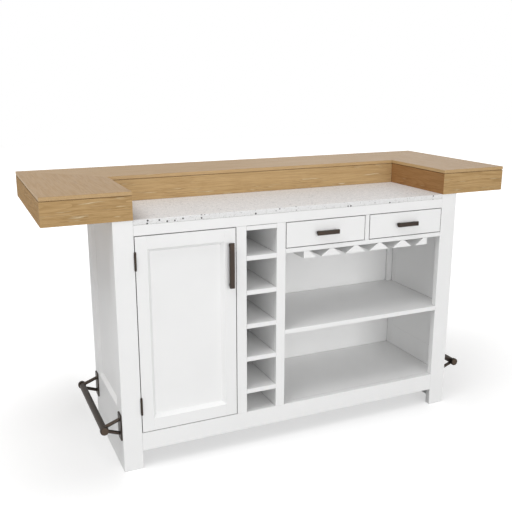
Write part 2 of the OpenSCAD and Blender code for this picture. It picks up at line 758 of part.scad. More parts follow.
// Boards that close the bar top underneath, and by which it stands on the cabinet
module bar_soffits() color(oak) place() {
  in = bar_outline(apron_t);
  span([in[0][0], in[1][0]], [in[0][1], in[7][1]], [bench_h, bench_h + soffit_t]);
  span([in[4][0], in[5][0]], [in[5][1], in[6][1]], [bench_h, bench_h + soffit_t]);
  span([in[2][0] + fit, in[3][0] - fit], [in[2][1], in[6][1]], [bench_h, bench_h + soffit_t]);
}

// ---- foot rails ----

// A tube along +Y from the origin
module rail_tube(len)
  rotate([-90, 0, 0]) difference() {
    cylinder(h = len, r = rail_r);
    translate([0, 0, -1]) cylinder(h = len + 2, r = rail_r - rail_wall);
  }

// Turned cap that closes a tube's end. Its plug points along +Y, and its shoulder is at y = 0.
cap_round = 4;
plug_len = 18;
module rail_cap()
  rotate([-90, 0, 0]) rotate_extrude()
    polygon([[0, -cap_len], for (a = [90 : -15 : 0])
      [cap_r - cap_round + cap_round * cos(a), -cap_len + cap_round - cap_round * sin(a)],
      [cap_r, 0], [rail_r - rail_wall - running, 0], [rail_r - rail_wall - running, plug_len],
      [0, plug_len]]);

// Wall bracket on the plane x = 0, reaching along -X: a plate and two arms that meet the tube
arm_reach = 6;
module arm(side) {
  run = rail_out - plate_t / 2;
  drop = arm_spread - arm_reach;
  translate([-plate_t / 2, 0, side * arm_spread]) rotate([0, -90 + side * atan(-drop / run), 0])
    cylinder(h = norm([run, drop]), r = arm_r);
}
module bracket() translate([0, 0, rail_z]) {
  difference() {
    union() { arm(1); arm(-1); }
    translate([-rail_out, -plate_w, 0]) rotate([-90, 0, 0])
      cylinder(h = 2 * plate_w, r = rail_r + running);
  }
  translate([-plate_t, -plate_w / 2, -plate_h / 2]) rotate([90, 0, 90])
    linear_extrude(plate_t) eased(plate_w, plate_h, 3);
}

side_tube = [rail_end_in + cap_len, cab_d - rail_end_in - cap_len];
back_tube = [back_rail_end_in + cap_len, cab_w - back_rail_end_in - cap_len];
back_bracket_x0 = back_tube[0] + back_bracket_in;
function back_bracket_x(i) =
  back_bracket_x0 + i * (cab_w - 2 * back_bracket_x0) / (back_bracket_n - 1);

// Puts its children at each end of the cabinet, drawn for the left end
module both_ends() {
  children();
  translate([cab_w, 0, 0]) mirror([1, 0, 0]) children();
}
// Turns the left end's own directions to the cabinet's back
module to_back() translate([0, cab_d, 0]) rotate([0, 0, -90]) children();

module side_foot_rails() color(bronze) place() both_ends()
  translate([-rail_out, side_tube[0], rail_z]) rail_tube(side_tube[1] - side_tube[0]);

module back_foot_rail() color(bronze) place() to_back()
  translate([-rail_out, back_tube[0], rail_z]) rail_tube(back_tube[1] - back_tube[0]);

module cap_pair(y)
  translate([-rail_out, 0, rail_z]) {
    translate([0, y[0], 0]) rail_cap();
    translate([0, y[1], 0]) mirror([0, 1, 0]) rail_cap();
  }
module rail_caps() color(bronze) place() {
  both_ends() cap_pair(side_tube);
  to_back() cap_pair(back_tube);
}

module rail_brackets() color(bronze) place() {
  both_ends() for (y = [side_tube[0] + bracket_in, side_tube[1] - bracket_in]) translate([0, y, 0]) bracket();
  to_back() for (i = [0 : back_bracket_n - 1]) translate([0, back_bracket_x(i), 0]) bracket();
}

left_stile();
right_stile();
top_rail();
base_rail();
door_mullion();
rack_mullion();
drawer_rail();
drawer_divider();
left_side_frame();
right_side_frame();
side_panels();
back_frame();
back_panels();
back_board();
bottom_board();
cupboard_partition();
rack_partition();
drawer_partition();
sub_top();
drawer_deck();
slide_packers();
corner_battens();
middle_shelf();
cupboard_shelf();
shelf_pins();
bottle_rack_top();
bottle_shelves();
glass_rails();
glass_end_rails();
door_frame();
door_panel();
door_pull();
hinge_frame_leaves();
hinge_door_leaves();
hinge_pins();
door_catch();
catch_plate();
left_drawer_front();
left_drawer_box();
left_drawer_pull();
left_drawer_slides();
right_drawer_front();
right_drawer_box();
right_drawer_pull();
right_drawer_slides();
cabinet_slides();
stone_top();
bar_top_left();
bar_top_back();
bar_top_right();
bar_end_aprons();
bar_outer_aprons();
bar_inner_aprons();
bar_back_apron();
bar_well_apron();
bar_soffits();
side_foot_rails();
back_foot_rail();
rail_caps();
rail_brackets();
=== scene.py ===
import math
import random

import bmesh
import bpy
from mathutils import Matrix, Vector


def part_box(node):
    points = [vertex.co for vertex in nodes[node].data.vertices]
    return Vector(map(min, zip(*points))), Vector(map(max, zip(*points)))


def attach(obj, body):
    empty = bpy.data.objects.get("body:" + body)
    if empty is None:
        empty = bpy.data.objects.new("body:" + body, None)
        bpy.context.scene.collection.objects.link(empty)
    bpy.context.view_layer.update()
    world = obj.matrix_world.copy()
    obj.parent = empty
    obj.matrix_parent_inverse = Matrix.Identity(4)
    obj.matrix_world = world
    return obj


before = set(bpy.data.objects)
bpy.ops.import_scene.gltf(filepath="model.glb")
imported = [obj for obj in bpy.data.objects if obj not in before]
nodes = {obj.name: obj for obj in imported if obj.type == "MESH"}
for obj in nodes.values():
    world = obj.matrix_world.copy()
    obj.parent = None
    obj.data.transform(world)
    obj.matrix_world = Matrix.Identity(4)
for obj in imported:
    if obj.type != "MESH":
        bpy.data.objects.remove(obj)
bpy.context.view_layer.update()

# ---- Face frame ------------------------------------------------------------------------------
# Stiles, rails and mullions of a close-grained hardwood, 25 mm thick, joined flush, filled and
# sprayed white. The satin lacquer has a fine orange peel, and a trace of the wood shows through.


class Socket:
    """One socket among a material's nodes. Maths on it adds the nodes that work it out."""

    def __init__(self, tree, socket=None):
        self.tree, self.socket = tree, socket

    def node(self, kind, settings=(), sockets=()):
        """Adds a node of any kind and gives its first output. Its settings are set first."""
        made = self.tree.nodes.new("ShaderNode" + kind)
        for name, value in dict(settings).items():
            setattr(made, name, value)
        for key, value in dict(sockets).items():
            if isinstance(key, int):
                entry = made.inputs[key]
            else:
                entry = next(i for i in made.inputs if i.enabled and i.name == key)
            if isinstance(value, Socket):
                self.tree.links.new(value.socket, entry)
            elif isinstance(value, (int, float)) and entry.type in ("VECTOR", "RGBA"):
                entry.default_value[:3] = (value, value, value)
            else:
                entry.default_value = value
        return Socket(self.tree, next(o for o in made.outputs if o.enabled))

    def out(self, name):
        """Another output of the same node."""
        return Socket(self.tree, self.socket.node.outputs[name])

    def axis(self, number):
        """One component of a vector: 0 for X, 1 for Y, 2 for Z."""
        return self.node("SeparateXYZ", (), {"Vector": self}).out("XYZ"[number])

    def maths(self, operation, *values):
        """A maths node. It works on vectors where one of its values is a vector."""
        vector = any(isinstance(v, Socket) and v.socket.type == "VECTOR" for v in values)
        kind = "VectorMath" if vector else "Math"
        return self.node(kind, {"operation": operation}, dict(enumerate(values)))

    def __add__(self, other):
        return self.maths("ADD", self, other)

    def __radd__(self, other):
        return self.maths("ADD", other, self)

    def __sub__(self, other):
        return self.maths("SUBTRACT", self, other)

    def __rsub__(self, other):
        return self.maths("SUBTRACT", other, self)

    def __mul__(self, other):
        return self.maths("MULTIPLY", self, other)

    def __truediv__(self, other):
        return self.maths("DIVIDE", self, other)

    def __pow__(self, other):
        return self.maths("POWER", self, other)

    def __gt__(self, other):
        return self.maths("GREATER_THAN", self, other)

    def __lt__(self, other):
        return self.maths("LESS_THAN", self, other)

    def __abs__(self):
        return self.maths("ABSOLUTE", self)


def new_finish(name):
    """A material, its main shader, and the first socket: the place on the piece, in metres."""
    material = bpy.data.materials.new(name)
    material.use_nodes = True
    start = Socket(material.node_tree)
    place = start.node("TexCoord").out("Object")
    return material, material.node_tree.nodes["Principled BSDF"], place


def feed(shader, name, value):
    """Links a worked-out value to one of the main shader's sockets."""
    value.tree.links.new(value.socket, shader.inputs[name])


def noise(place, scale, detail=2.0, rough=0.5):
    """Cloudy pattern from 0 to 1. The scale is one number, or one for each axis."""
    return place.node("TexNoise", {"noise_dimensions": "3D"},
                      {"Vector": place * scale, "Scale": 1.0, "Detail": detail,
                       "Roughness": rough})


def between(value, low, high):
    """0 where the value is below low, 1 where it is above high, and smooth in between."""
    return value.node("MapRange", {"interpolation_type": "SMOOTHSTEP"},
                      {"Value": value, "From Min": low, "From Max": high})


def mixed(factor, first, second):
    """A colour between two colours, each given as numbers or as a socket."""
    return factor.node("Mix", {"data_type": "RGBA"},
                       {"Factor": factor, "A": first, "B": second})


def bumped(shader, height, strength, distance):
    """Raises the surface by a height pattern. The distance is the depth of the relief."""
    bump = height.node("Bump", (), {"Height": height, "Strength": strength,
                                    "Distance": distance})
    feed(shader, "Normal", bump)


def stretched(along, run, across):
    """Scales for a pattern that is drawn out along one axis: 0 for X, 1 for Y, 2 for Z."""
    scale = [across] * 3
    scale[along] = run
    return tuple(scale)


LACQUER_WHITE = (0.900, 0.900, 0.897, 1.0)
LACQUER_SHADE = (0.872, 0.873, 0.870, 1.0)
# Painted shade darkens the joints and gaps.
JOINT_SHADE = (0.200, 0.198, 0.194, 1.0)
JOINT_REACH, JOINT_OPEN, JOINT_SHUT = 0.005, 0.62, 0.35


def shade_in_joint(place):
    """1 deep in the joints and gaps, and 0 a few millimetres out of them: a mask for painted
    shade, from how closed in the surface is.
    """
    air = place.node("AmbientOcclusion", {"samples": 4}, {"Distance": JOINT_REACH}).out("AO")
    return between(air, JOINT_OPEN, JOINT_SHUT)


def lacquered(name, along=None, shadow_line_height=None):
    """White satin lacquer, on solid wood with its grain along an axis, or on plain board. Painted
    shade darkens it in the joints and gaps, and a painted shadow line darkens it above a given
    height."""
    material, shader, place = new_finish(name)
    joint_shade = shade_in_joint(place)
    if shadow_line_height is not None:
        joint_shade = joint_shade.maths("MAXIMUM", joint_shade, place.axis(2) > shadow_line_height)
    cloud = noise(place, 5.0, 3.0)
    peel = noise(place, 620.0, 1.0)
    relief = peel
    if along is not None:
        grain = noise(place, stretched(along, 9.0, 380.0), 3.0, 0.6)
        relief = peel * 0.45 + grain * 0.55
    white = mixed(between(cloud, 0.3, 0.75) * 0.6, LACQUER_WHITE, LACQUER_SHADE)
    feed(shader, "Base Color", mixed(joint_shade, white, JOINT_SHADE))
    feed(shader, "Roughness", 0.42 + cloud * 0.12)
    shader.inputs["Specular IOR Level"].default_value = 0.20
    bumped(shader, relief, 0.10, 0.0004)
    return material


def dressed(material, *names):
    """Gives CAD pieces their finish through their material slots."""
    for name in names:
        for slot in nodes[name].material_slots:
            slot.material = material


lacquer_across = lacquered("lacquer_across", along=0)
lacquer_up = lacquered("lacquer_up", along=2)
dressed(lacquer_across, "top_rail", "base_rail", "drawer_rail")
dressed(lacquer_up, "left_stile", "right_stile", "door_mullion", "rack_mullion",
        "drawer_divider")

# ---- Framed sides and back -------------------------------------------------------------------
# Frames of the same hardwood with a sloped moulding worked on their inner edges, and flat board
# panels let into them. They are glued up, sanded flush and sprayed with the face frame.

dressed(lacquer_up, "left_side_frame", "right_side_frame", "back_frame")
lacquer_board = lacquered("lacquer_board")
dressed(lacquer_board, "side_panels", "back_panels")

# ---- Carcass and shelves ---------------------------------------------------------------------
# Boards of 18 mm, sprayed white on both faces and on the lipped front edges. The bottle shelves
# are housed in grooves, and the middle shelf rests on two battens in the back corners.

dressed(lacquer_board, "back_board", "bottom_board", "sub_top", "drawer_deck",
        "cupboard_partition", "rack_partition", "drawer_partition", "middle_shelf",
        "cupboard_shelf", "bottle_shelves")
dressed(lacquer_up, "corner_battens")

# The top 1.3 mm of the bottle rack's top board is painted dark, a painted shadow line under the
# top rail.
SHADOW_LINE_BAND = 0.0013
dressed(lacquered("lacquer_shadow_line", shadow_line_height=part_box("bottle_rack_top")[1].z - SHADOW_LINE_BAND),
        "bottle_rack_top")

# ---- Rack for stemmed glasses ----------------------------------------------------------------
# Hardwood rails with two sloped flanks, run on a spindle moulder and glued under the drawer
# deck from front to back. The feet of the glasses slide in over the flanks.

lacquer_deep = lacquered("lacquer_deep", along=1)
dressed(lacquer_deep, "glass_rails", "glass_end_rails")

# ---- Door ------------------------------------------------------------------------------------
# An inset framed door. Its stiles and rails carry the sloped moulding, and the flat panel floats
# in a rebate. It is sprayed with the cabinet.

dressed(lacquer_up, "door_frame")
dressed(lacquer_board, "door_panel")

# ---- Door hinges, pull and catch -------------------------------------------------------------
# Loose-pin butt hinges and a flat bar pull, of brass blackened to a dark bronze. A magnetic
# catch in a black plastic case meets a zinc-plated steel plate on the door's back.

BRONZE_DARK = (0.047, 0.038, 0.032, 1.0)
BRONZE_WARM = (0.086, 0.058, 0.042, 1.0)
BRONZE_LIGHTER_END = (0.078, 0.058, 0.044, 1.0)
SQUARELY, MAINLY = 0.96, 0.7  # least facing of a turned end, and of a side of a board


def facing(place, axis):
    """How far the surface faces along an axis: 1 squarely along it, -1 squarely against it."""
    return place.node("TexCoord").out("Normal").axis(axis)


def blackened(name, along=0, warm=0.35, gloss=0.42, lighter_end=None):
    """Blackened bronze: brushed along one axis, browner where the black has been rubbed. An end
    that faces squarely along another axis can be painted a lighter brown."""
    material, shader, place = new_finish(name)
    rubbed = between(noise(place, 30.0, 4.0, 0.6), 0.35, 0.75)
    brushed = noise(place, stretched(along, 14.0, 1500.0), 2.0)
    skin = mixed(rubbed * warm, BRONZE_DARK, BRONZE_WARM)
    if lighter_end is not None:
        skin = mixed(abs(facing(place, lighter_end)) > SQUARELY, skin, BRONZE_LIGHTER_END)
    feed(shader, "Base Color", skin)
    feed(shader, "Roughness", gloss + rubbed * 0.08 + (brushed - 0.5) * 0.10)
    shader.inputs["Metallic"].default_value = 1.0
    bumped(shader, brushed, 0.12, 0.0002)
    return material


bronze_up = blackened("bronze_up", along=2)
bronze_across = blackened("bronze_across", along=0)
dressed(bronze_up, "hinge_frame_leaves", "hinge_door_leaves", "hinge_pins", "door_pull")

ZINC = (0.56, 0.57, 0.58, 1.0)
ZINC_SPANGLE = (0.44, 0.45, 0.47, 1.0)


def zinc_plated(name):
    """Zinc-plated steel with faint spangles and a soft rolled texture."""
    material, shader, place = new_finish(name)
    spangle = place.node("TexVoronoi", {"feature": "F1"},
                         {"Vector": place, "Scale": 160.0}).out("Color")
    patch = spangle.node("SeparateColor", (), {"Color": spangle})
    feed(shader, "Base Color", mixed(patch * 0.6, ZINC, ZINC_SPANGLE))
    feed(shader, "Roughness", 0.30 + noise(place, 90.0, 3.0) * 0.14)
    shader.inputs["Metallic"].default_value = 1.0
    bumped(shader, noise(place, 700.0, 2.0), 0.08, 0.0002)
    return material


zinc = zinc_plated("zinc")
dressed(zinc, "catch_plate", "shelf_pins")

CASE_BLACK = (0.020, 0.020, 0.021, 1.0)
CASE_DULLED = (0.034, 0.034, 0.035, 1.0)


def moulded_black(name):
    """Moulded plastic with a fine spark-eroded texture."""
    material, shader, place = new_finish(name)
    grain = noise(place, 900.0, 2.0)
    feed(shader, "Base Color", mixed(grain, CASE_BLACK, CASE_DULLED))
    feed(shader, "Roughness", 0.48 + grain * 0.12)
    bumped(shader, grain, 0.2, 0.0003)
    return material


dressed(moulded_black("catch_case"), "door_catch")

# Screw heads are turned forms. Edges sharper than an angle in degrees stay sharp, and each
# head is sunk a little below its seat.
SHARP_EDGE, SIDES = 32.0, 32
PAN_SUNK, FLAT_SUNK = 0.0002, 0.0006


def piece(name, shape, body, material):
    """One finished piece of a shape in mesh code, with its body, finish and slot."""
    bmesh.ops.recalc_face_normals(shape, faces=shape.faces)
    data = bpy.data.meshes.new(name)
    shape.to_mesh(data)
    shape.free()
    data.shade_smooth()
    data.set_sharp_from_angle(angle=math.radians(SHARP_EDGE))
    data.materials.append(material)
    made = bpy.data.objects.new(name, data)
    bpy.context.scene.collection.objects.link(made)
    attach(made, body)


def turned(shape, rings, seat, outward, spin):
    """Adds a closed form that is built up in rings over its seat: each ring has a height, and
    either one radius or a radius for each direction."""
    turn = Vector((0, 0, 1)).rotation_difference(Vector(outward)).to_matrix().to_4x4()
    place = Matrix.Translation(seat) @ turn @ Matrix.Rotation(spin, 4, "Z")
    loops = []
    for radius, height in rings:
        radii = radius if isinstance(radius, list) else [radius] * SIDES
        loops.append([shape.verts.new(place @ Vector((r * math.cos(2 * math.pi * i / SIDES),
                                                      r * math.sin(2 * math.pi * i / SIDES),
                                                      height)))
                      for i, r in enumerate(radii)])
    for low, high in zip(loops, loops[1:]):
        for i in range(SIDES):
            j = (i + 1) % SIDES
            shape.faces.new((low[i], low[j], high[j], high[i]))
    for loop, height in ((loops[0], rings[0][1]), (loops[-1], rings[-1][1])):
        middle = shape.verts.new(place @ Vector((0, 0, height)))
        for i in range(SIDES):
            shape.faces.new((loop[i], loop[(i + 1) % SIDES], middle))


def cross_recess(length, width):
    """Radius in every direction of the cross that a driver turns."""
    radii = []
    for i in range(SIDES):
        off = (i * 2 * math.pi / SIDES) % (math.pi / 2)
        off = min(off, math.pi / 2 - off)
        flank = width / math.sin(off) if off > 1e-6 else length
        radii.append(min(length / math.cos(off), flank))
    return radii


def screw_head(shape, seat, outward, radius, rise, rng, domed):
    """Adds one screw head: a domed pan head, or a flat one that lies in a countersink. Its
    profile and its cross are in proportion to its radius and its rise."""
    cross = cross_recess(radius * 0.55, radius * 0.14)
    floor_of_cross = [r * 0.82 for r in cross]
    if domed:
        rings = [(radius * 0.96, -PAN_SUNK), (radius, rise * 0.12), (radius, rise * 0.45),
                 (radius * 0.93, rise * 0.75), (radius * 0.78, rise * 0.94),
                 (radius * 0.64, rise)]
    else:
        rings = [(radius * 0.90, -FLAT_SUNK), (radius, rise * 0.4), (radius * 0.97, rise),
                 (radius * 0.64, rise)]
    rings += [(cross, rise), (floor_of_cross, rise * 0.25)]
    turned(shape, rings, seat, outward, spin=rng.uniform(0, math.pi))


def screws(name, seats, outward, radius, rise, body, material, domed=True):
    """A set of screws of one kind, driven by hand, so that no two crosses line up."""
    rng = random.Random(name)
    shape = bmesh.new()
    for seat in seats:
        screw_head(shape, Vector(seat), outward, radius, rise, rng, domed)
    piece(name, shape, body, material)


# Three flat-headed screws hold each leaf of a hinge. They stand a hair proud of the leaf.
HINGE_SCREW_R, HINGE_SCREW_PROUD = 0.0029, 0.00011
HINGE_SCREW_STEP, HINGE_SCREW_IN, HINGE_SCREW_STAGGER = 0.021, 0.0105, 0.003
LEAF_T, HALF_GAP, HINGE_LENGTH = 0.0011, 0.0015, 0.065
leaf_low, leaf_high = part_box("hinge_frame_leaves")
pin_low, pin_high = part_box("hinge_pins")
gap_middle = (pin_low.x + pin_high.x) / 2
leaf_faces = {"hinge_frame_leaves": (gap_middle - HALF_GAP + LEAF_T, (1, 0, 0), "cabinet"),
              "hinge_door_leaves": (gap_middle + HALF_GAP - LEAF_T, (-1, 0, 0), "door")}
hinge_heights = (leaf_low.z + HINGE_LENGTH / 2, leaf_high.z - HINGE_LENGTH / 2)
for leaf, (face_x, outward, body) in leaf_faces.items():
    screw_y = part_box(leaf)[1].y - HINGE_SCREW_IN
    seats = [(face_x, screw_y + (HINGE_SCREW_STAGGER if step == 0 else 0), z + step)
             for z in hinge_heights for step in (-HINGE_SCREW_STEP, 0, HINGE_SCREW_STEP)]
    screws(leaf.replace("leaves", "screws"), seats, outward, HINGE_SCREW_R,
           HINGE_SCREW_PROUD, body, bronze_up, domed=False)

# The pull is screwed on through the stile, one pan-headed screw behind each of its posts.
PAN_HEAD_R, PAN_HEAD_RISE, POST_FROM_END = 0.0042, 0.0024, 0.0105
pull_low, pull_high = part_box("door_pull")
pull_x = (pull_low.x + pull_high.x) / 2
door_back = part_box("door_frame")[1].y
screws("door_pull_screws",
       [(pull_x, door_back, z) for z in (pull_low.z + POST_FROM_END, pull_high.z - POST_FROM_END)],
       (0, 1, 0), PAN_HEAD_R, PAN_HEAD_RISE, "door", zinc)

# The strike plate and the catch each have two small screws.
STRIKE_SCREW_R, STRIKE_SCREW_PROUD = 0.0024, 0.00012
CATCH_SCREW_R, CATCH_SCREW_RISE = 0.0026, 0.0012
CATCH_SCREW_IN, CATCH_SCREW_BACK = 0.006, 0.004
plate_low, plate_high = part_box("catch_plate")
plate_mid_z = (plate_low.z + plate_high.z) / 2
screws("catch_plate_screws",
       [(x, plate_high.y, plate_mid_z)
        for x in (plate_low.x + CATCH_SCREW_IN, plate_high.x - CATCH_SCREW_IN)],
       (0, 1, 0), STRIKE_SCREW_R, STRIKE_SCREW_PROUD, "door", zinc, domed=False)
catch_low, catch_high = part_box("door_catch")
screws("catch_screws",
       [(x, (catch_low.y + catch_high.y) / 2 + CATCH_SCREW_BACK, catch_low.z)
        for x in (catch_low.x + CATCH_SCREW_IN, catch_high.x - CATCH_SCREW_IN)],
       (0, 0, -1), CATCH_SCREW_R, CATCH_SCREW_RISE, "cabinet", zinc)

# ---- Drawers ---------------------------------------------------------------------------------
# Solid fronts, sprayed white, screwed to boxes of 12 mm birch plywood that show their plies on
# the top edges. The boxes run on zinc-plated steel slides.

dressed(lacquer_across, "left_drawer_front", "right_drawer_front")
dressed(bronze_across, "left_drawer_pull", "right_drawer_pull")
dressed(zinc, "left_drawer_slides", "right_drawer_slides", "cabinet_slides")

BIRCH = (0.70, 0.545, 0.345, 1.0)
BIRCH_DARK = (0.60, 0.44, 0.26, 1.0)
PLY_END = (0.36, 0.22, 0.11, 1.0)
PLY_T = 0.0014
WALL_T = 0.012


def birch_plywood(name, node):
    """Birch plywood of a drawer box. Its plies show on the edges of the walls."""
    material, shader, place = new_finish(name)
    low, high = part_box(node)
    mid_x, half = (low.x + high.x) / 2, (high.x - low.x) / 2
    off_x = abs(place.axis(0) - mid_x)
    in_side = off_x > half - WALL_T
    depth = in_side * off_x + (1 - in_side) * place.axis(1)
    plies = between(depth.maths("PINGPONG", depth, PLY_T) / PLY_T, 0.35, 0.65)
    edge = abs(facing(place, 2)) > MAINLY
    figure = noise(place, (5.0, 9.0, 70.0), 4.0, 0.6)
    face = mixed(between(figure, 0.3, 0.8), BIRCH, BIRCH_DARK)
    feed(shader, "Base Color", mixed(edge * plies * 0.8, face, PLY_END))
    feed(shader, "Roughness", 0.50 + figure * 0.12)
    shader.inputs["Specular IOR Level"].default_value = 0.3
    bumped(shader, noise(place, (40.0, 40.0, 900.0), 2.0), 0.1, 0.0003)
    return material


for side in ("left", "right"):
    box_node = side + "_drawer_box"
    dressed(birch_plywood(side + "_drawer_plywood", box_node), box_node)
dressed(birch_plywood("packer_plywood", "slide_packers"), "slide_packers")

# Each front is held by four screws from inside the box, and its pull by two more.
FRONT_SCREW_R, FRONT_SCREW_RISE = 0.0038, 0.0020
FRONT_SCREW_IN, FRONT_SCREW_UP, FRONT_SCREW_DOWN = 0.045, 0.026, 0.014
for side in ("left", "right"):
    box_low, box_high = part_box(side + "_drawer_box")
    pull_low, pull_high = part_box(side + "_drawer_pull")
    inner_face = box_low.y + WALL_T
    pull_z = (pull_low.z + pull_high.z) / 2
    screws(side + "_drawer_pull_screws",
           [(x, inner_face, pull_z)
            for x in (pull_low.x + POST_FROM_END, pull_high.x - POST_FROM_END)],
           (0, 1, 0), PAN_HEAD_R, PAN_HEAD_RISE, side + "_drawer", zinc)
    screws(side + "_drawer_front_screws",
           [(x, inner_face, z)
            for x in (box_low.x + FRONT_SCREW_IN, box_high.x - FRONT_SCREW_IN)
            for z in (box_low.z + FRONT_SCREW_UP, box_high.z - FRONT_SCREW_DOWN)],
           (0, 1, 0), FRONT_SCREW_R, FRONT_SCREW_RISE, side + "_drawer", zinc)

# ---- Stone worktop ---------------------------------------------------------------------------
# A 19 mm slab of pale engineered stone, finely mottled, with sparse dark chips in it. It is
# honed matt and set against the aprons, and painted shade greys it in the joints. The sawn edge
# is whiter than the top and shows more of the chips.

STONE_PALE = (0.830, 0.830, 0.830, 1.0)
STONE_HONED = (0.870, 0.842, 0.824, 1.0)
STONE_CLOUD = (0.670, 0.655, 0.644, 1.0)
STONE_GRIT = (0.450, 0.447, 0.445, 1.0)
STONE_CHIP = (0.060, 0.058, 0.058, 1.0)
STONE_JOINT_SHADE = (0.280, 0.255, 0.230, 1.0)


def chips(place, scale, size, share):
    """Stone chips: spots in a share of the cells of a random pattern. The share is a number or
    a socket."""
    cells = place.node("TexVoronoi", {"feature": "F1"}, {"Vector": place, "Scale": scale})
    pick = cells.out("Color").node("SeparateColor", (), {"Color": cells.out("Color")})
    return between(cells.out("Distance"), size, size * 0.7) * (pick < share)


def engineered_stone(name):
    """Pale stone of crushed chips in resin, with a warm honed top and whiter sawn edges."""
    material, shader, place = new_finish(name)
    cloud = between(noise(place, 60.0, 4.0, 0.6), 0.3, 0.7)
    mottle = between(noise(place, 240.0, 2.0, 0.6), 0.38, 0.66)
    sawn = abs(facing(place, 1)) > MAINLY
    ground = mixed(sawn, STONE_HONED, STONE_PALE)
    ground = mixed((cloud * 0.35 + mottle * 0.75) * (1 - sawn * 0.45), ground, STONE_CLOUD)
    ground = mixed(chips(place, 165.0, 0.42, 0.12 + sawn * 0.06) * 0.6, ground, STONE_GRIT)
    ground = mixed(chips(place, 70.0, 0.30, 0.10 + sawn * 0.16) * (0.45 + sawn * 0.55),
                   ground, STONE_CHIP)
    # Painted shade greys the stone in the joints and gaps.
    feed(shader, "Base Color", mixed(shade_in_joint(place), ground, STONE_JOINT_SHADE))
    feed(shader, "Roughness", 0.46 + cloud * 0.08)
    shader.inputs["Specular IOR Level"].default_value = 0.35
    bumped(shader, noise(place, 300.0, 2.0), 0.05, 0.0003)
    return material


dressed(engineered_stone("engineered_stone"), "stone_top")

# ---- Bar top ---------------------------------------------------------------------------------
# A boxed top of European oak. The boards lie flat on mitred aprons, with a thin shadow line
# between. The wood is flat-sawn, so its rings run out in long arches, and it is oiled matt.

OAK_LIGHT = (0.480, 0.303, 0.142, 1.0)
OAK_MID = (0.405, 0.246, 0.106, 1.0)
OAK_LINE = (0.270, 0.152, 0.058, 1.0)
OAK_FLECK = (0.640, 0.500, 0.320, 1.0)
OAK_JOINT_SHADE = (0.110, 0.055, 0.022, 1.0)
PLAIN_TONE = (1.11, 1.17, 1.20, 1.0)
RING, RING_WAVER = 0.0026, 0.0022
HEART_WANDER, HEART_SLOPE, VEIN_WANDER = 0.03, 0.018, 0.010
STAVE, STAVE_SHIFT, STAVE_HEART = 0.104, 3.7, 0.07


def oak(name, along, across, through, heart, top=False, tone=PLAIN_TONE):
    """Oiled oak board. Its axes are its length, width and thickness, and the heart of its tree
    lies along the length, at a place across the width and a place through the thickness. A top
    is glued up of staves, with fainter grain. The tone is a factor for the colour of the whole
    board, or of only the upper face of a top, where it is painted light and sheen."""
    material, shader, place = new_finish(name)
    joint_shade = shade_in_joint(place)
    run, width, depth = (place.axis(number) for number in (along, across, through))
    if through == 0:  # a left and a right board, each the mirror image of the other
        depth = abs(depth)
    width, depth = width - heart[0], depth - heart[1]
    if top:
        staves = width / STAVE
        index = staves.maths("FLOOR", staves)
        pick = index.node("TexWhiteNoise", {"noise_dimensions": "1D"}, {"W": index})
        place = place + place.node("CombineXYZ", (), {"XYZ"[along]: pick * STAVE_SHIFT})
        width = width - index * STAVE - STAVE / 2 + (pick - 0.5) * STAVE_HEART
        # Only the upper face takes the tone, painted light and sheen; the other faces keep the
        # plain tone.
        tone = mixed(facing(place, 2) > MAINLY, PLAIN_TONE, tone)
    wander = noise(place, stretched(along, 1.6, 4.0), 2.0) - 0.5
    waver = noise(place, stretched(along, 6.0, 30.0), 3.0) - 0.5
    beside = width + wander * HEART_WANDER
    below = depth + run * HEART_SLOPE + wander * HEART_WANDER
    rings = ((beside * beside + below * below) ** 0.5 + waver * RING_WAVER) / RING
    late = (1 - rings.maths("FRACT", rings)) ** 2.5
    pores = between(noise(place, stretched(along, 24.0, 1000.0), 2.0, 0.6), 0.50, 0.66)
    streak = between(noise(place, stretched(along, 7.0, 170.0), 3.0, 0.6), 0.35, 0.70)
    patchy = between(noise(place, stretched(along, 3.5, 26.0), 2.0), 0.45, 0.62)
    bend = place + place.node("CombineXYZ", (), {"XYZ"[across]: waver * VEIN_WANDER})
    vein = noise(bend, stretched(along, 9.0, 250.0), 2.0, 0.5)
    fleck = between(vein, 0.63, 0.69) * patchy
    vein = between(vein, 0.53, 0.60) * (0.40 + patchy * 0.60)
    strength = between(noise(place, stretched(along, 2.5, 16.0), 2.0), 0.25, 0.7)
    force = 0.45 if top else 1.0
    ground = mixed(streak * (0.8 * force), OAK_LIGHT, OAK_MID)
    ground = mixed(late * (0.12 + strength * 0.42) * force, ground, OAK_LINE)
    ground = mixed(pores * (0.14 + late * 0.30 + patchy * 0.30) * force, ground, OAK_LINE)
    ground = mixed(vein * (0.60 * force), ground, OAK_LINE)
    ground = mixed(fleck * (0.85 * force), ground, OAK_FLECK)
    ground = ground.node("Mix", {"data_type": "RGBA", "blend_type": "MULTIPLY"},
                         {"Factor": 1.0, "A": ground, "B": tone})
    # Painted shade darkens the oak in the joints and gaps.
    feed(shader, "Base Color", mixed(joint_shade, ground, OAK_JOINT_SHADE))
    feed(shader, "Roughness", (0.46 if top else 0.60) + streak * 0.08)
    shader.inputs["Specular IOR Level"].default_value = 0.34 if top else 0.08
    bumped(shader, 1 - pores * 0.6 - late * 0.3, 0.15, 0.0004)
    return material


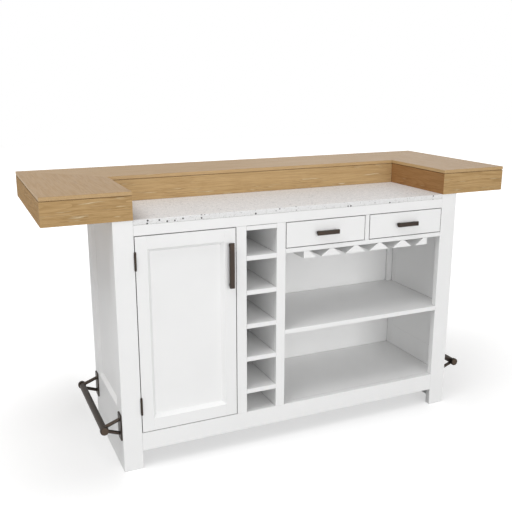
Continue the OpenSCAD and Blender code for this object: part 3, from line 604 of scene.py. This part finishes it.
# The heart of each tree lies some way off its board: under the boards of the top, and before,
# behind or beside the aprons, up or down from their middle. The upper faces of the tops carry
# painted light and sheen, darker and warmer on the left board and bluer on the back and right.
# The well apron is painted paler and bluer, painted light and sheen. The outer aprons are
# browner, and the inner aprons darker and redder.
HEART_DEEP = 0.075
END_HEART_UP, OUTER_HEART_UP, INNER_HEART_DOWN, WELL_HEART_DOWN = 0.020, 0.012, 0.020, 0.095
TOP_SHEEN_LEFT, TOP_SHEEN_BACK = (0.83, 0.83, 0.81, 1.0), (0.90, 0.93, 0.97, 1.0)
TOP_SHEEN_RIGHT = (0.88, 0.91, 0.99, 1.0)
REDDER, PALER_PAINTED_LIGHT = (0.76, 0.64, 0.55, 1.0), (1.15, 1.25, 1.35, 1.0)
BROWNER = (1.01, 0.99, 0.91, 1.0)
bar_low, bar_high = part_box("bar_top_back")
well_low, well_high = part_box("bar_well_apron")
apron_mid = (well_low.z + well_high.z) / 2
under_boards = bar_high.z - HEART_DEEP
beside_ends = bar_high.x + HEART_DEEP
before_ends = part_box("bar_end_aprons")[0].y - HEART_DEEP
beside_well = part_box("bar_inner_aprons")[1].x + HEART_DEEP
before_well = well_low.y - HEART_DEEP
dressed(oak("oak_left_board", 1, 0, 2, (bar_low.x, under_boards), top=True, tone=TOP_SHEEN_LEFT),
        "bar_top_left")
dressed(oak("oak_back_board", 0, 1, 2, (bar_high.y, under_boards), top=True, tone=TOP_SHEEN_BACK),
        "bar_top_back")
dressed(oak("oak_right_board", 1, 0, 2, (bar_high.x, under_boards), top=True, tone=TOP_SHEEN_RIGHT),
        "bar_top_right")
dressed(oak("oak_end_aprons", 0, 2, 1, (apron_mid + END_HEART_UP, before_ends)),
        "bar_end_aprons")
dressed(oak("oak_outer_aprons", 1, 2, 0, (apron_mid + OUTER_HEART_UP, beside_ends), tone=BROWNER),
        "bar_outer_aprons")
dressed(oak("oak_inner_aprons", 1, 2, 0, (apron_mid - INNER_HEART_DOWN, beside_well),
            tone=REDDER), "bar_inner_aprons")
# The well apron's paler, bluer tone is painted light and sheen.
dressed(oak("oak_well_apron", 0, 2, 1, (apron_mid - WELL_HEART_DOWN, before_well), tone=PALER_PAINTED_LIGHT),
        "bar_well_apron")
dressed(oak("oak_back_apron", 0, 2, 1, (apron_mid, bar_high.y + HEART_DEEP)), "bar_back_apron")
dressed(oak("oak_soffits", 0, 1, 2, (bar_high.y, apron_mid - HEART_DEEP), top=True),
        "bar_soffits")

# ---- Foot rails ------------------------------------------------------------------------------
# Tubes of 25 mm with turned end caps, on brackets of plate and round bar, all brass blackened
# to the bronze of the pulls.

dressed(blackened("bronze_side_tubes", along=1, gloss=0.40), "side_foot_rails")
dressed(blackened("bronze_back_tube", along=0, gloss=0.40), "back_foot_rail")
# The caps' flat ends are painted a lighter brown.
dressed(blackened("bronze_turned", along=0, warm=0.3, lighter_end=1), "rail_caps")
dressed(blackened("bronze_brackets", along=2), "rail_brackets")

# Four flat-headed screws hold each bracket's plate to the wood.
PLATE_SCREW_R, PLATE_SCREW_PROUD = 0.0036, 0.0004
PLATE_HALF_W, PLATE_HALF_H, PLATE_T, PLATE_SCREW_IN = 0.022, 0.052, 0.005, 0.0085
SIDE_TUBE_IN, BACK_TUBE_IN = 0.008, 0.026
bracket_low, bracket_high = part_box("rail_brackets")
plate_z = (bracket_low.z + bracket_high.z) / 2
plate_corners = [(a * (PLATE_HALF_W - PLATE_SCREW_IN), b * (PLATE_HALF_H - PLATE_SCREW_IN))
                 for a in (-1, 1) for b in (-1, 1)]
side_low, side_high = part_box("side_panels")
tube_low, tube_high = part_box("side_foot_rails")
for end, face, sign in (("left", side_low.x - PLATE_T, -1), ("right", side_high.x + PLATE_T, 1)):
    screws(end + "_bracket_screws",
           [(face, y + off, plate_z + up)
            for y in (tube_low.y + SIDE_TUBE_IN, tube_high.y - SIDE_TUBE_IN)
            for off, up in plate_corners],
           (sign, 0, 0), PLATE_SCREW_R, PLATE_SCREW_PROUD, "cabinet", bronze_up,
           domed=False)
back_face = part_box("back_panels")[1].y + PLATE_T
back_low, back_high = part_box("back_foot_rail")
first_x, last_x = back_low.x + BACK_TUBE_IN, back_high.x - BACK_TUBE_IN
screws("back_bracket_screws",
       [(x + off, back_face, plate_z + up)
        for x in (first_x, (first_x + last_x) / 2, last_x) for off, up in plate_corners],
       (0, 1, 0), PLATE_SCREW_R, PLATE_SCREW_PROUD, "cabinet", bronze_up,
       domed=False)

# ---- Studio ----------------------------------------------------------------------------------
# The camera stands a little left of the unit and looks down on it. A plain white room and broad
# soft lights, mostly from the front, light it so that its colours come out about as they are.

CAMERA_PLACE = (-1.25591, -2.72535, 1.46876)
CAMERA_DOWN, CAMERA_RIGHT = 14.602, 23.908  # degrees below level, and to the right of +Y
CAMERA_LENS, CAMERA_SENSOR = 50.0, 36.0
scene = bpy.context.scene
camera_data = bpy.data.cameras.new("camera")
camera_data.lens, camera_data.sensor_width = CAMERA_LENS, CAMERA_SENSOR
camera = bpy.data.objects.new("camera", camera_data)
camera.location = CAMERA_PLACE
camera.rotation_euler = (math.radians(90.0 - CAMERA_DOWN), 0.0, math.radians(-CAMERA_RIGHT))
scene.collection.objects.link(camera)
scene.camera = camera
scene.view_settings.view_transform = "Standard"

UNIT_MIDDLE = Vector((0.0, 0.0, 0.5))


def soft_light(name, place, width, height, power):
    """A rectangular soft light that faces the unit's middle. Its power is in watts."""
    data = bpy.data.lights.new(name, "AREA")
    data.shape, data.size, data.size_y, data.energy = "RECTANGLE", width, height, power
    lamp = bpy.data.objects.new(name, data)
    lamp.location = place
    aim = UNIT_MIDDLE - Vector(place)
    lamp.rotation_euler = aim.to_track_quat("-Z", "Y").to_euler()
    scene.collection.objects.link(lamp)


soft_light("front_light", (1.0, -8.0, 1.5), 5.0, 2.8, 156.0)
soft_light("front_high_light", (0.5, -7.5, 3.2), 5.0, 2.8, 80.0)
soft_light("front_left_light", (-4.5, -7.0, 1.5), 4.0, 2.8, 40.0)
soft_light("left_light", (-3.2, -1.2, 5.9), 4.0, 4.0, 187.0)
soft_light("back_right_light", (4.5, 6.0, 2.5), 4.0, 3.0, 20.0)


def seen_directly(start):
    """1 for rays that the camera, a gloss or a glass sends, and 0 for rays that light."""
    path = start.node("LightPath")
    kinds = [path.out(k) for k in ("Is Camera Ray", "Is Glossy Ray", "Is Transmission Ray")]
    return kinds[0].maths("MAXIMUM", kinds[0], kinds[1].maths("MAXIMUM", kinds[1], kinds[2]))


ROOM_LIGHT, WHITE = 0.40, (1.0, 1.0, 1.0, 1.0)
world = bpy.data.worlds.new("room")
world.use_nodes = True
scene.world = world
room = Socket(world.node_tree)
unseen = room.node("Background", (), {"Strength": ROOM_LIGHT, "Color": WHITE})
seen = room.node("Background", (), {"Strength": 1.0, "Color": WHITE})
walls = room.node("MixShader", (), {0: seen_directly(room), 1: unseen, 2: seen})
world.node_tree.links.new(walls.socket, world.node_tree.nodes["World Output"].inputs["Surface"])

# ---- Floor -----------------------------------------------------------------------------------
# A seamless pale floor, which keeps the soft shadow of the unit and runs out into the white
# room. Only what looks at it sees it whitened, so it throws no extra light on the unit.

FLOOR_SIZE, FLOOR_CELLS, FLOOR_DROP = 24.0, 8, 0.0004
FLOOR_GREY, FLOOR_PALE = (0.57, 0.57, 0.57, 1.0), (0.60, 0.60, 0.60, 1.0)
floor_shape = bmesh.new()
bmesh.ops.create_grid(floor_shape, x_segments=FLOOR_CELLS, y_segments=FLOOR_CELLS,
                      size=FLOOR_SIZE / 2)
floor_data = bpy.data.meshes.new("floor")
floor_shape.to_mesh(floor_data)
floor_shape.free()
floor = bpy.data.objects.new("floor", floor_data)
floor.location.z = -FLOOR_DROP
scene.collection.objects.link(floor)
floor_finish, floor_shader, spot = new_finish("studio_floor")
feed(floor_shader, "Base Color", mixed(noise(spot, 1.3), FLOOR_GREY, FLOOR_PALE))
floor_shader.inputs["Roughness"].default_value = 0.9
floor_shader.inputs["Specular IOR Level"].default_value = 0.0

# The whitening grows with the distance from the unit, in metres, first over the floor near it
# and then out to where the room begins. Along the unit's left side it is weaker, a painted
# shadow.
GLOW_NEAR, GLOW_ROOM, GLOW_FAR = 0.53, 0.71, 1.0
NEAR_BAND, FAR_BAND = (0.12, 0.9), (1.0, 5.0)
RAILS_STAND_OUT = 0.07
LEFT_SHADOW_DEPTH, LEFT_BAND, FRONT_BAND = 0.14, (-0.66, -0.80), (-1.0, -0.25)
half_unit = (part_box("base_rail")[1].x + RAILS_STAND_OUT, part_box("back_panels")[1].y, 0.0)
outside = abs(spot) - half_unit
outside = outside.maths("MAXIMUM", outside, (0.0, 0.0, -1.0)) * (1.0, 1.0, 0.0)
away = outside.maths("LENGTH", outside)
near, far = between(away, *NEAR_BAND), between(away, *FAR_BAND)
painted_left_shadow = between(spot.axis(0), *LEFT_BAND) * between(spot.axis(1), *FRONT_BAND) * (1 - near)
glow = (GLOW_NEAR + near * (GLOW_ROOM - GLOW_NEAR) + far * (GLOW_FAR - GLOW_ROOM)
        - painted_left_shadow * LEFT_SHADOW_DEPTH) * seen_directly(spot)
lit = Socket(spot.tree, floor_shader.outputs[0])
whitened = spot.node("AddShader", (), {0: lit, 1: spot.node("Emission", (), {"Color": glow})})
spot.tree.links.new(whitened.socket, spot.tree.nodes["Material Output"].inputs["Surface"])
floor_data.materials.append(floor_finish)
